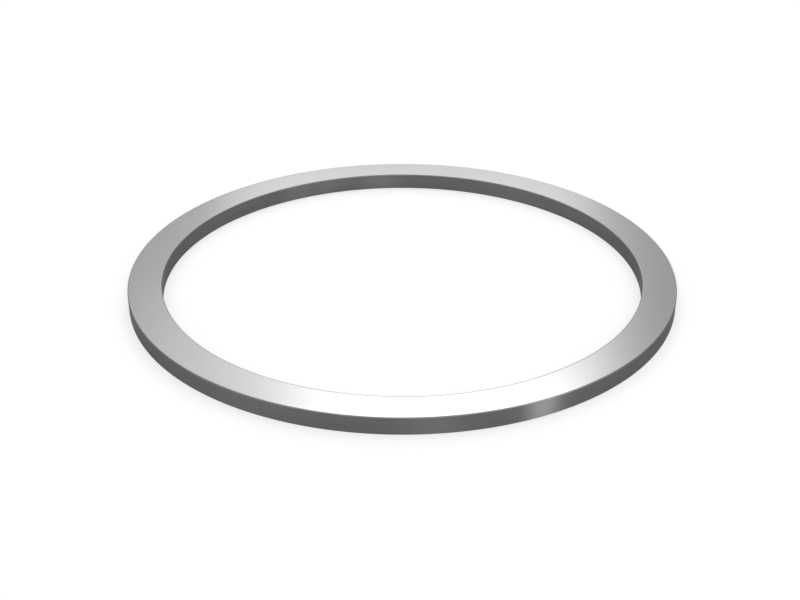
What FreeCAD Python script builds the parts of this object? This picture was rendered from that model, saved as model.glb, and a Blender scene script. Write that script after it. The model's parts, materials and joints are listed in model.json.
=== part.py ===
import FreeCAD, Part
import os

import Sketcher

# Shim ring: one flat steel ring of rectangular section.
# It is turned from tube, ground flat on its faces, and its sharp edges are broken.
# It slides on a shaft and takes up the end play between a shoulder and the piece beside it.
# The ring lies on the plane z = 0 with its axis on +Z. Sizes are in millimetres.

# Each row is a driving dimension: its name, its value and what it measures.
DRIVING_SIZES = (
    ("shaft_diameter", 70.0, "the shaft that the ring slides on"),
    ("bore_clearance", 0.2, "bore diameter less shaft diameter"),
    ("face_width", 4.9, "along a radius, from the bore to the outside"),
    ("thickness", 2.5, "over the ground faces"),
    ("edge_radius", 0.1, "rounding of the broken edges"),
)

# Each row is a size that follows from the driving ones: its name, its formula and what it measures.
DERIVED_SIZES = (
    ("bore_radius", "=(shaft_diameter + bore_clearance) / 2", "from the axis to the inner wall"),
)


def make_sheet(document):
    """Writes one size to each row of a sheet, with the size's name as the alias of its cell."""
    sheet = document.addObject("Spreadsheet::Sheet", "sizes")
    for row, (name, value, meaning) in enumerate(DRIVING_SIZES + DERIVED_SIZES, start=1):
        sheet.set(f"A{row}", name)
        sheet.set(f"B{row}", str(value))
        sheet.set(f"C{row}", meaning)
        sheet.setAlias(f"B{row}", name)
    document.recompute()
    return sheet


def origin_feature(body, role):
    """The plane or axis of the body's own origin that has this role."""
    return next(item for item in body.Origin.OriginFeatures if item.Role == role)


def draw_section(body, sheet):
    """Half section of the ring: a rectangle on the base plane, clear of the axis by the bore radius."""
    sketch = body.newObject("Sketcher::SketchObject", "ring_section")
    sketch.AttachmentSupport = [(origin_feature(body, "XZ_Plane"), "")]
    sketch.MapMode = "FlatFace"

    # The corners run round the section from the foot of the bore wall.
    inner, outer, height = sheet.bore_radius, sheet.bore_radius + sheet.face_width, sheet.thickness
    outline = ((inner, 0), (outer, 0), (outer, height), (inner, height))
    corners = [FreeCAD.Vector(x, y, 0) for x, y in outline]
    sides = [
        sketch.addGeometry(Part.LineSegment(start, end), False)
        for start, end in zip(corners, corners[1:] + corners[:1])
    ]
    lower_face, outer_wall, upper_face, bore_wall = sides

    base_line, root = -1, (-1, 1)
    start_point, end_point = 1, 2
    for side, following in zip(sides, sides[1:] + sides[:1]):
        sketch.addConstraint(Sketcher.Constraint("Coincident", side, end_point, following, start_point))
    for side in (lower_face, upper_face):
        sketch.addConstraint(Sketcher.Constraint("Horizontal", side))
    for side in (outer_wall, bore_wall):
        sketch.addConstraint(Sketcher.Constraint("Vertical", side))
    sketch.addConstraint(Sketcher.Constraint("PointOnObject", lower_face, start_point, base_line))

    dimensions = (
        ("bore_radius", "DistanceX", (*root, lower_face, start_point)),
        ("face_width", "DistanceX", (lower_face, start_point, lower_face, end_point)),
        ("thickness", "DistanceY", (outer_wall, start_point, outer_wall, end_point)),
    )
    for name, kind, points in dimensions:
        index = sketch.addConstraint(Sketcher.Constraint(kind, *points, getattr(sheet, name)))
        sketch.renameConstraint(index, name)
        sketch.setExpression(f"Constraints.{name}", f"sizes.{name}")
    return sketch


def make_shim_ring(document, sheet):
    """The ring: its section turned about the axis, then every sharp edge lightly rounded."""
    body = document.addObject("PartDesign::Body", "shim_ring")
    body.Label = "shim_ring"
    section = draw_section(body, sheet)
    document.recompute()

    turning = body.newObject("PartDesign::Revolution", "turned_ring")
    turning.Profile = section
    turning.ReferenceAxis = (origin_feature(body, "Z_Axis"), [""])
    turning.Angle = 360
    document.recompute()

    # The sharp edges are the full circles. The seams, where each face closes on itself, are straight.
    sharp_edges = [
        f"Edge{number}"
        for number, edge in enumerate(turning.Shape.Edges, start=1)
        if isinstance(edge.Curve, Part.Circle)
    ]
    deburring = body.newObject("PartDesign::Fillet", "broken_edges")
    deburring.Base = (turning, sharp_edges)
    deburring.setExpression("Radius", "sizes.edge_radius")
    document.recompute()
    return body


def check_document(document):
    """Stops with a plain message if any object of the document failed to build."""
    for item in document.Objects:
        if "Invalid" in item.State or "Error" in item.State:
            raise RuntimeError(f"{item.Name} did not build: {item.State}")


def write_step(piece, folder):
    """Writes one piece to folder/LABEL.step, after checking that its shape is one sound solid."""
    shape = piece.Shape
    if shape.isNull() or not shape.isValid() or len(shape.Solids) != 1:
        raise RuntimeError(f"{piece.Label} is not one valid solid")
    shape.exportStep(os.path.join(folder, f"{piece.Label}.step"))
    box = shape.optimalBoundingBox(False, False)
    extents = f"{box.XLength:.3f} x {box.YLength:.3f} x {box.ZLength:.3f} mm"
    print(f"{piece.Label}: {extents}, {shape.Volume:.2f} mm3")


def main():
    document = FreeCAD.newDocument("shim_ring")
    sheet = make_sheet(document)
    ring = make_shim_ring(document, sheet)
    check_document(document)
    os.makedirs("parts", exist_ok=True)
    write_step(ring, "parts")
    return document


main()
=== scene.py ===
import json
import math

import bpy
import numpy as np
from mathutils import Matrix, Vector


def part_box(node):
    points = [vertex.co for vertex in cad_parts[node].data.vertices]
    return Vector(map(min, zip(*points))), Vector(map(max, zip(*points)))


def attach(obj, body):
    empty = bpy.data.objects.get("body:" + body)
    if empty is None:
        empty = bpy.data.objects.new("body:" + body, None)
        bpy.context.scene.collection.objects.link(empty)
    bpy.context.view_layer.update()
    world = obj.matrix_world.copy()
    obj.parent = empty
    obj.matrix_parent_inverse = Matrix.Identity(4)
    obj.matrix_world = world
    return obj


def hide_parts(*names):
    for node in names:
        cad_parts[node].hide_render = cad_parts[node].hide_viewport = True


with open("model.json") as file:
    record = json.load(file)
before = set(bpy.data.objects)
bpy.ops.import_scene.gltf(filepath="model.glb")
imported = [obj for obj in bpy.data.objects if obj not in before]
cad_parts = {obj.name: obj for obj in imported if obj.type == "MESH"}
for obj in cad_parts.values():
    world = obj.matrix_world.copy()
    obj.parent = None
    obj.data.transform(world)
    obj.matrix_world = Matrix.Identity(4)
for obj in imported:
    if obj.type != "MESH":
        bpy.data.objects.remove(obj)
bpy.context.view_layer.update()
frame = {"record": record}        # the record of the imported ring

millimetre = 0.001
print("frame loaded")


# sizes that the ring takes from the frame, in metres
def readRingSizes():
    mounts = {mount["name"]: mount for mount in frame["record"]["mounts"]}
    lowCorner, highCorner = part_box("shim_ring")
    thickness = highCorner.z - lowCorner.z
    straightWall = mounts["bore"]["dims"]["length_mm"] * millimetre
    return {
        "bore": mounts["bore"]["dims"]["r_mm"] * millimetre,
        "outside": mounts["outer_rim"]["dims"]["r_mm"] * millimetre,
        "bottom": lowCorner.z,
        "top": highCorner.z,
        "edge": (thickness - straightWall) / 2,      # rounding of the broken edges
    }


ringSizes = readRingSizes()
print("ring sizes read")


# small helpers for shader nodes

def newNode(tree, kind, **values):
    # makes one node and sets its properties, such as operation or node_tree
    node = tree.nodes.new(kind)
    for name, value in values.items():
        setattr(node, name, value)
    return node


def plug(tree, socket, value):
    # a socket takes either a link from another socket or a plain value
    if isinstance(value, bpy.types.NodeSocket):
        tree.links.new(value, socket)
    else:
        socket.default_value = value


def calculate(tree, operation, first, second=0.0, clamp=False):
    node = newNode(tree, "ShaderNodeMath", operation=operation, use_clamp=clamp)
    plug(tree, node.inputs[0], first)
    plug(tree, node.inputs[1], second)
    return node.outputs[0]


def remap(tree, value, low, high, newLow, newHigh, smooth=False):
    # low..high goes to newLow..newHigh and is held there past both ends
    node = newNode(tree, "ShaderNodeMapRange", clamp=True)
    node.interpolation_type = "SMOOTHSTEP" if smooth else "LINEAR"
    for socket, given in zip(node.inputs, (value, low, high, newLow, newHigh)):
        plug(tree, socket, given)
    return node.outputs[0]


def newGroup(name, inputs, outputs):
    # an empty node group: inputs are name: default, or name: None for a vector, and outputs are name: kind
    group = bpy.data.node_groups.new(name, "ShaderNodeTree")
    for socketName, default in inputs.items():
        kind = "NodeSocketVector" if default is None else "NodeSocketFloat"
        socket = group.interface.new_socket(socketName, in_out="INPUT", socket_type=kind)
        if default is not None:
            socket.default_value = default
    for socketName, kind in outputs.items():
        group.interface.new_socket(socketName, in_out="OUTPUT", socket_type=kind)
    return group, group.nodes.new("NodeGroupInput").outputs, group.nodes.new("NodeGroupOutput").inputs


def placeGroup(tree, group, **values):
    node = newNode(tree, "ShaderNodeGroup", node_tree=group)
    for name, value in values.items():
        plug(tree, node.inputs[name], value)
    return node.outputs


# place on the ring, from Object coordinates: distance from the axis, height, and direction from the axis
def buildRingPlace():
    group, given, made = newGroup(
        "ringPlace", {"Point": None},
        {"Radius": "NodeSocketFloat", "Height": "NodeSocketFloat", "Around": "NodeSocketVector"})
    parts = newNode(group, "ShaderNodeSeparateXYZ")
    plug(group, parts.inputs[0], given["Point"])
    flat = newNode(group, "ShaderNodeCombineXYZ")
    plug(group, flat.inputs["X"], parts.outputs["X"])
    plug(group, flat.inputs["Y"], parts.outputs["Y"])
    length = newNode(group, "ShaderNodeVectorMath", operation="LENGTH")
    plug(group, length.inputs[0], flat.outputs[0])
    unit = newNode(group, "ShaderNodeVectorMath", operation="NORMALIZE")
    plug(group, unit.inputs[0], flat.outputs[0])
    plug(group, made["Radius"], length.outputs["Value"])
    plug(group, made["Height"], parts.outputs["Z"])
    plug(group, made["Around"], unit.outputs[0])
    return group


# the noise of the tool marks, which seldom leaves the stretch from low to high
markNoise = {
    "detail": 3.0,
    "roughness": 0.6,
    "low": 0.3,
    "high": 0.7,
}


# tool marks that run round an axis: noise on the direction from the axis, times Wraps,
# and on the distance across the marks, divided by Pitch
def buildRoundMarks(values):
    group, given, made = newGroup(
        "roundMarks", {"Around": None, "Across": 0.0, "Pitch": 1.0, "Wraps": 1.0},
        {"Marks": "NodeSocketFloat"})
    turned = newNode(group, "ShaderNodeVectorMath", operation="SCALE")
    plug(group, turned.inputs[0], given["Around"])
    plug(group, turned.inputs["Scale"], given["Wraps"])
    rise = newNode(group, "ShaderNodeCombineXYZ")
    plug(group, rise.inputs["Z"], calculate(group, "DIVIDE", given["Across"], given["Pitch"]))
    place = newNode(group, "ShaderNodeVectorMath", operation="ADD")
    plug(group, place.inputs[0], turned.outputs[0])
    plug(group, place.inputs[1], rise.outputs[0])
    noise = newNode(group, "ShaderNodeTexNoise")
    plug(group, noise.inputs["Vector"], place.outputs[0])
    plug(group, noise.inputs["Scale"], 1.0)
    plug(group, noise.inputs["Detail"], values["detail"])
    plug(group, noise.inputs["Roughness"], values["roughness"])
    plug(group, made["Marks"], noise.outputs["Fac"])
    return group


ringPlace = buildRingPlace()
roundMarks = buildRoundMarks(markNoise)


def newMetal(name):
    # a material with its Principled shader and its Object coordinates
    material = bpy.data.materials.new(name)
    material.use_nodes = True
    tree = material.node_tree
    shader = tree.nodes["Principled BSDF"]
    shader.inputs["Metallic"].default_value = 1.0
    point = newNode(tree, "ShaderNodeTexCoord").outputs["Object"]
    return material, tree, shader, point


def greyFrom(tree, value):
    # a neutral colour of this brightness
    mixed = newNode(tree, "ShaderNodeCombineColor")
    for socket in mixed.inputs:
        plug(tree, socket, value)
    return mixed.outputs[0]


def varied(tree, noise, middle, spread):
    # middle - spread where the noise is low, and middle + spread where it is high
    return remap(tree, noise, markNoise["low"], markNoise["high"], middle - spread, middle + spread)


def tilt(tree, height, distance):
    # a Bump node: the normal that a height of this depth gives
    bump = newNode(tree, "ShaderNodeBump")
    bump.inputs["Distance"].default_value = distance
    plug(tree, bump.inputs["Height"], height)
    return bump.outputs[0]


# ground face: a wheel much larger than the ring passes over it and leaves fine arcs
groundFace = {
    "brightness": 0.56,                      # share of light that the steel sends back
    "brightnessSpread": 0.012,               # to either side, between one mark and the next
    "roughness": 0.20,
    "roughnessSpread": 0.012,
    "wheelCentre": (-0.110, 0.065, 0.0),     # in metres, from the middle of the ring
    "markPitch": 0.16 * millimetre,
    "markWraps": 9.0,                        # a higher number makes each mark shorter
    "markDepth": 0.0002 * millimetre,
    "markShare": 0.2,                        # of the marks in the unevenness, and the rest is clouds
    "cloudSize": 14 * millimetre,
    "cloudDetail": 2.0,
    "boreRim": 0.10 * millimetre,            # the stone that breaks the edges also dulls this much face
    "outsideRim": 0.04 * millimetre,
    "rimCore": 0.6,                          # share of the rim that is fully dull
    "rimRoughness": 0.55,
}


def buildGroundFace(values, sizes):
    material, tree, shader, point = newMetal("groundFaceSteel")
    fromWheel = newNode(tree, "ShaderNodeVectorMath", operation="SUBTRACT")
    plug(tree, fromWheel.inputs[0], point)
    plug(tree, fromWheel.inputs[1], values["wheelCentre"])
    arc = placeGroup(tree, ringPlace, Point=fromWheel.outputs[0])
    marks = placeGroup(tree, roundMarks, Around=arc["Around"], Across=arc["Radius"],
                       Pitch=values["markPitch"], Wraps=values["markWraps"])["Marks"]
    clouds = newNode(tree, "ShaderNodeTexNoise")
    plug(tree, clouds.inputs["Vector"], point)
    plug(tree, clouds.inputs["Scale"], 1 / values["cloudSize"])
    plug(tree, clouds.inputs["Detail"], values["cloudDetail"])
    uneven = calculate(tree, "ADD", calculate(tree, "MULTIPLY", marks, values["markShare"]),
                       calculate(tree, "MULTIPLY", clouds.outputs["Fac"], 1 - values["markShare"]))
    bright = varied(tree, uneven, values["brightness"], values["brightnessSpread"])
    plug(tree, shader.inputs["Base Color"], greyFrom(tree, bright))

    # bright steel is also the smoother steel, and both rims are dull
    rough = varied(tree, uneven, values["roughness"], -values["roughnessSpread"])
    radius = placeGroup(tree, ringPlace, Point=point)["Radius"]
    fromBore = calculate(tree, "SUBTRACT", radius, sizes["bore"] + sizes["edge"])
    fromOutside = calculate(tree, "SUBTRACT", sizes["outside"] - sizes["edge"], radius)
    for away, rim in ((fromBore, values["boreRim"]), (fromOutside, values["outsideRim"])):
        core = rim * values["rimCore"]
        rough = remap(tree, away, core, rim, values["rimRoughness"], rough, smooth=True)
    plug(tree, shader.inputs["Roughness"], rough)
    plug(tree, shader.inputs["Normal"], tilt(tree, marks, values["markDepth"]))
    return material


# turned walls: the tool leaves fine lines round the axis, which draw a highlight out up and down the wall
turnedWallWithPaintedShade = {
    # brightness: partly the turned steel's own duller tone, partly painted shade, set far below the face's
    # steel so the walls stay as dark as the surroundings they mirror
    "brightness": 0.165,
    "brightnessSpread": 0.01,
    "grazingTint": 0.52,                     # painted shade: a grey tint that holds down the walls' reflection where the eye passes along them
    "roughness": 0.40,
    "roughnessSpread": 0.03,
    "drawnOut": 1.0,                         # how much the highlight is drawn out
    "drawnTurn": 0.25,                       # in turns: a quarter makes it run up and down
    "linePitch": 0.11 * millimetre,
    "lineWraps": 2.5,
    "lineDepth": 0.002 * millimetre,
}


def buildTurnedWall(values):
    material, tree, shader, point = newMetal("turnedWallSteelPaintedShade")
    place = placeGroup(tree, ringPlace, Point=point)
    lines = placeGroup(tree, roundMarks, Around=place["Around"], Across=place["Height"],
                       Pitch=values["linePitch"], Wraps=values["lineWraps"])["Marks"]
    # base colour with painted shade: the lines' random tone round a level darker than the steel itself
    bright = varied(tree, lines, values["brightness"], values["brightnessSpread"])
    plug(tree, shader.inputs["Base Color"], greyFrom(tree, bright))
    rough = varied(tree, lines, values["roughness"], -values["roughnessSpread"])
    plug(tree, shader.inputs["Roughness"], rough)
    plug(tree, shader.inputs["Normal"], tilt(tree, lines, values["lineDepth"]))
    # grey specular tint: painted shade that keeps grazing reflection low on the walls
    shader.inputs["Specular Tint"].default_value = (values["grazingTint"],) * 3 + (1,)
    shader.inputs["Anisotropic"].default_value = values["drawnOut"]
    shader.inputs["Anisotropic Rotation"].default_value = values["drawnTurn"]
    roundAxis = newNode(tree, "ShaderNodeTangent", direction_type="RADIAL", axis="Z")
    plug(tree, shader.inputs["Tangent"], roundAxis.outputs[0])
    return material


# broken edge: darker and duller steel than both sides, which draws a thin dark line along each edge
brokenEdge = {
    "brightness": 0.30,
    "brightnessSpread": 0.04,
    "grazingTint": 0.30,
    "roughness": 0.45,
    "stonePitch": 0.05 * millimetre,
    "stoneWraps": 40.0,
}


def buildBrokenEdge(values):
    material, tree, shader, point = newMetal("brokenEdgeSteel")
    place = placeGroup(tree, ringPlace, Point=point)
    strokes = placeGroup(tree, roundMarks, Around=place["Around"], Across=place["Radius"],
                         Pitch=values["stonePitch"], Wraps=values["stoneWraps"])["Marks"]
    bright = varied(tree, strokes, values["brightness"], values["brightnessSpread"])
    plug(tree, shader.inputs["Base Color"], greyFrom(tree, bright))
    shader.inputs["Roughness"].default_value = values["roughness"]
    shader.inputs["Specular Tint"].default_value = (values["grazingTint"],) * 3 + (1,)
    return material


ringFinishes = {
    "edge": buildBrokenEdge(brokenEdge),
    "wall": buildTurnedWall(turnedWallWithPaintedShade),
    "face": buildGroundFace(groundFace, ringSizes),
}
print("ring finishes made")


# helpers for surfaces that an outline of radius and height makes when it is carried round the axis

def carryRound(outline, rounds):
    # x = radius cos(turn), y = radius sin(turn), z = height
    turn = np.arange(rounds) * 2 * math.pi / rounds
    sweep = np.stack([np.cos(turn), np.sin(turn)], axis=1)
    across = sweep[:, None, :] * outline[None, :, :1]
    rise = np.broadcast_to(outline[None, :, 1:], (rounds, len(outline), 1))
    return np.concatenate([across, rise], axis=2).reshape(-1, 3)


def facesRound(rounds, count, columns):
    # four corners for each turn and each of the first columns, on an outline of count points;
    # with as many columns as points, the last one closes the outline
    row, column = np.meshgrid(np.arange(rounds), np.arange(columns), indexing="ij")
    nextRow, nextColumn = (row + 1) % rounds, (column + 1) % count
    corners = (row * count + column, nextRow * count + column,
               nextRow * count + nextColumn, row * count + nextColumn)
    return np.stack(corners, axis=2).reshape(-1, 4)


ringMesh = {
    "rounds": 720,               # steps about the axis
    "face": 12,                  # steps across each face
    "wall": 6,                   # steps up each wall
    "edge": 6,                   # steps round each broken edge
}


def ringSection(sizes, steps):
    # closed outline of the section, anticlockwise from the foot of the outer wall, as radius and height,
    # with its normals and the finish of each step: a quarter circle at each corner, then a straight side
    inner, outer = sizes["bore"] + sizes["edge"], sizes["outside"] - sizes["edge"]
    bottom, top = sizes["bottom"] + sizes["edge"], sizes["top"] - sizes["edge"]
    centres = np.array([(outer, bottom), (outer, top), (inner, top), (inner, bottom)])
    sides = ("wall", "face", "wall", "face")         # the one that follows each corner
    points, normals, finishes = [], [], []
    for index, side in enumerate(sides):
        angle = np.linspace(index - 1, index, steps["edge"] + 1) * math.pi / 2
        normal = np.stack([np.cos(angle), np.sin(angle)], axis=1)
        rounding = centres[index] + sizes["edge"] * normal
        following = centres[(index + 1) % len(sides)] + sizes["edge"] * normal[-1]
        along = np.linspace(0, 1, steps[side] + 1)[1:-1, None]
        straight = rounding[-1] + along * (following - rounding[-1])
        points += [rounding, straight]
        normals += [normal, np.repeat(normal[-1:], len(straight), axis=0)]
        finishes += ["edge"] * steps["edge"] + [side] * steps[side]
    return np.concatenate(points), np.concatenate(normals), finishes


def buildRing(sizes, steps, finishes):
    section, sectionNormals, sectionFinishes = ringSection(sizes, steps)
    rounds, count = steps["rounds"], len(section)
    faces = facesRound(rounds, count, count)
    mesh = bpy.data.meshes.new("shimRing")
    mesh.from_pydata(carryRound(section, rounds).tolist(), [], faces.tolist())
    for finish in finishes.values():
        mesh.materials.append(finish)
    names = list(finishes)
    slots = np.array([names.index(name) for name in sectionFinishes], dtype=np.int32)
    mesh.polygons.foreach_set("material_index", np.tile(slots, rounds))
    mesh.polygons.foreach_set("use_smooth", np.ones(len(faces), dtype=bool))
    mesh.update()
    mesh.normals_split_custom_set_from_vertices(carryRound(sectionNormals, rounds).tolist())

    ring = bpy.data.objects.new("shimRing", mesh)
    bpy.context.scene.collection.objects.link(ring)
    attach(ring, "root")
    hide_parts("shim_ring")


buildRing(ringSizes, ringMesh, ringFinishes)
print("ring made")


# floor and backdrop: one sheet of white paper that curves up all round, far from the ring; in metres
paper = {
    "middleRadius": 0.03,        # closed by one flat face
    "flatRadius": 1.5,
    "bendRadius": 0.5,
    "height": 0.6,
    "drop": 0.01 * millimetre,   # the paper lies this far under the ring
    "whiteness": 0.8,
    "glowNear": 0.53,            # what the camera and the steel see on top of the lamps' light
    "glowFar": 1.0,              # what they see instead of it, far from the ring
    "fadeFrom": 0.15,
    "fadeTo": 0.9,
    "rounds": 96,
    "flatSteps": 11,
    "bendSteps": 12,
}


def buildPaperFinish(values):
    # near the ring the paper shows the lamps' light and the ring's shadow, and far off it is plain white
    material = bpy.data.materials.new("whitePaper")
    material.use_nodes = True
    tree = material.node_tree
    shader = tree.nodes["Principled BSDF"]
    shader.inputs["Base Color"].default_value = (values["whiteness"],) * 3 + (1,)
    shader.inputs["Roughness"].default_value = 1.0
    shader.inputs["Specular IOR Level"].default_value = 0.0
    light = newNode(tree, "ShaderNodeLightPath").outputs
    seen = calculate(tree, "ADD", light["Is Camera Ray"], light["Is Glossy Ray"])
    seen = calculate(tree, "ADD", seen, light["Is Transmission Ray"], clamp=True)
    point = newNode(tree, "ShaderNodeTexCoord").outputs["Object"]
    away = newNode(tree, "ShaderNodeVectorMath", operation="LENGTH")
    plug(tree, away.inputs[0], point)
    far = remap(tree, away.outputs["Value"], values["fadeFrom"], values["fadeTo"], 0, 1, smooth=True)
    shader.inputs["Emission Color"].default_value = (1, 1, 1, 1)
    plug(tree, shader.inputs["Emission Strength"], calculate(tree, "MULTIPLY", seen, values["glowNear"]))
    white = newNode(tree, "ShaderNodeEmission")
    white.inputs["Strength"].default_value = values["glowFar"]
    blend = newNode(tree, "ShaderNodeMixShader")
    plug(tree, blend.inputs[0], calculate(tree, "MULTIPLY", seen, far))
    plug(tree, blend.inputs[1], shader.outputs[0])
    plug(tree, blend.inputs[2], white.outputs[0])
    plug(tree, tree.nodes["Material Output"].inputs["Surface"], blend.outputs[0])
    return material


def buildPaper(values):
    # outline of the sheet carried round the axis: flat, then a quarter circle, then straight up
    flatX = np.linspace(values["middleRadius"], values["flatRadius"], values["flatSteps"] + 1)
    flat = np.stack([flatX, np.zeros_like(flatX)], axis=1)
    quarter = np.linspace(0, math.pi / 2, values["bendSteps"] + 1)
    bend = np.stack([values["flatRadius"] + values["bendRadius"] * np.sin(quarter),
                     values["bendRadius"] * (1 - np.cos(quarter))], axis=1)
    rim = np.array([[values["flatRadius"] + values["bendRadius"], values["height"]]])
    outline = np.concatenate([flat[:-1], bend, rim]) - np.array([0, values["drop"]])
    rounds, count = values["rounds"], len(outline)
    faces = facesRound(rounds, count, count - 1)[:, [0, 3, 2, 1]].tolist()     # turned to face up
    faces.append((np.arange(rounds) * count).tolist())
    mesh = bpy.data.meshes.new("paper")
    mesh.from_pydata(carryRound(outline, rounds).tolist(), [], faces)
    mesh.polygons.foreach_set("use_smooth", np.ones(len(faces), dtype=bool))
    mesh.materials.append(buildPaperFinish(values))
    sheet = bpy.data.objects.new("paper", mesh)
    bpy.context.scene.collection.objects.link(sheet)


buildPaper(paper)
print("paper laid")


# lamps: each is a soft rectangle that faces the ring, placed by its compass and height angles in degrees and
# by how far away it is, with its sizes in metres, and at level 1 it looks as bright as white paper.
# The right strip hangs low, so that the face doesn't mirror it in other views, and the last lamp is small
# and close, for the one bright streak on the outer wall
lamps = {
    "keyBehind": {"compass": 3, "height": 37, "away": 5.0, "wide": 1.15, "tall": 1.00, "level": 2.4},
    "lowBehind": {"compass": 0.5, "height": 26, "away": 5.0, "wide": 1.42, "tall": 0.60, "level": 1.1},
    "leftBehind": {"compass": -9, "height": 38, "away": 5.0, "wide": 0.85, "tall": 1.80, "level": 0.60},
    "rightStrip": {"compass": 126, "height": 5, "away": 1.0, "wide": 0.19, "tall": 0.14, "level": 4.5},
    "frontStrip": {"compass": 169, "height": 19, "away": 1.0, "wide": 0.28, "tall": 0.60, "level": 1.2},
    "leftLow": {"compass": 236, "height": 8, "away": 1.0, "wide": 0.53, "tall": 0.25, "level": 0.65},
    "wallGlint": {"compass": 137.3, "height": 2.2, "away": 0.1, "wide": 0.015, "tall": 0.006, "level": 27},
}
room = {
    "low": 0.445,                # level up to lowHeight
    "high": 0.75,                # level from highHeight up to straight above
    "lowHeight": 38,             # in degrees
    "highHeight": 62,
}


def hangLamp(name, values):
    # compass 0 is straight behind the ring as the camera sees it, and 90 is to the right
    compass, height = math.radians(values["compass"]), math.radians(values["height"])
    towards = Vector((math.sin(compass) * math.cos(height), math.cos(compass) * math.cos(height),
                      math.sin(height)))
    light = bpy.data.lights.new(name, "AREA")
    light.shape = "RECTANGLE"
    light.size, light.size_y = values["wide"], values["tall"]
    light.energy = values["level"] * math.pi * values["wide"] * values["tall"]      # in watts
    lamp = bpy.data.objects.new(name, light)
    lamp.location = towards * values["away"]
    lamp.rotation_euler = towards.to_track_quat("Z", "Y").to_euler()
    lamp.visible_camera = False
    bpy.context.scene.collection.objects.link(lamp)


def lightRoom(values):
    # a soft dome: one level from the paper up to lowHeight, rising to a bright ceiling
    world = bpy.data.worlds.new("room")
    world.use_nodes = True
    tree = world.node_tree
    towards = newNode(tree, "ShaderNodeSeparateXYZ")
    plug(tree, towards.inputs[0], newNode(tree, "ShaderNodeTexCoord").outputs["Generated"])
    low, high = (math.sin(math.radians(values[key])) for key in ("lowHeight", "highHeight"))
    level = remap(tree, towards.outputs[2], low, high, values["low"], values["high"], smooth=True)
    background = tree.nodes["Background"]
    background.inputs["Color"].default_value = (1, 1, 1, 1)
    plug(tree, background.inputs["Strength"], level)
    bpy.context.scene.world = world


for lampName, lampValues in lamps.items():
    hangLamp(lampName, lampValues)
lightRoom(room)
print("lamps hung")


# camera, fitted to the outline of the ring in the photograph
cameraFit = {
    "lens": 59.45,               # in mm, and so is the width of the sensor
    "sensor": 36,
    "lookDown": 28.45,           # in degrees
    "right": 0.0079,             # centre of the upper face from the camera, in outside radii
    "up": 0.1183,
    "forward": 4.8877,
    "nearest": 0.01,             # in metres, and nothing nearer than this is drawn
}


def placeCamera(values, sizes):
    down = math.radians(values["lookDown"])
    rightward = Vector((1, 0, 0))
    upward = Vector((0, math.sin(down), math.cos(down)))
    forward = Vector((0, math.cos(down), -math.sin(down)))
    offset = rightward * values["right"] + upward * values["up"] + forward * values["forward"]
    view = bpy.data.cameras.new("camera")
    view.lens, view.sensor_width = values["lens"], values["sensor"]
    view.clip_start = values["nearest"]
    camera = bpy.data.objects.new("camera", view)
    camera.location = Vector((0, 0, sizes["top"])) - offset * sizes["outside"]
    camera.rotation_euler = (math.pi / 2 - down, 0, 0)
    bpy.context.scene.collection.objects.link(camera)
    bpy.context.scene.camera = camera


placeCamera(cameraFit, ringSizes)
bpy.context.scene.view_settings.view_transform = "Standard"
print("camera placed")
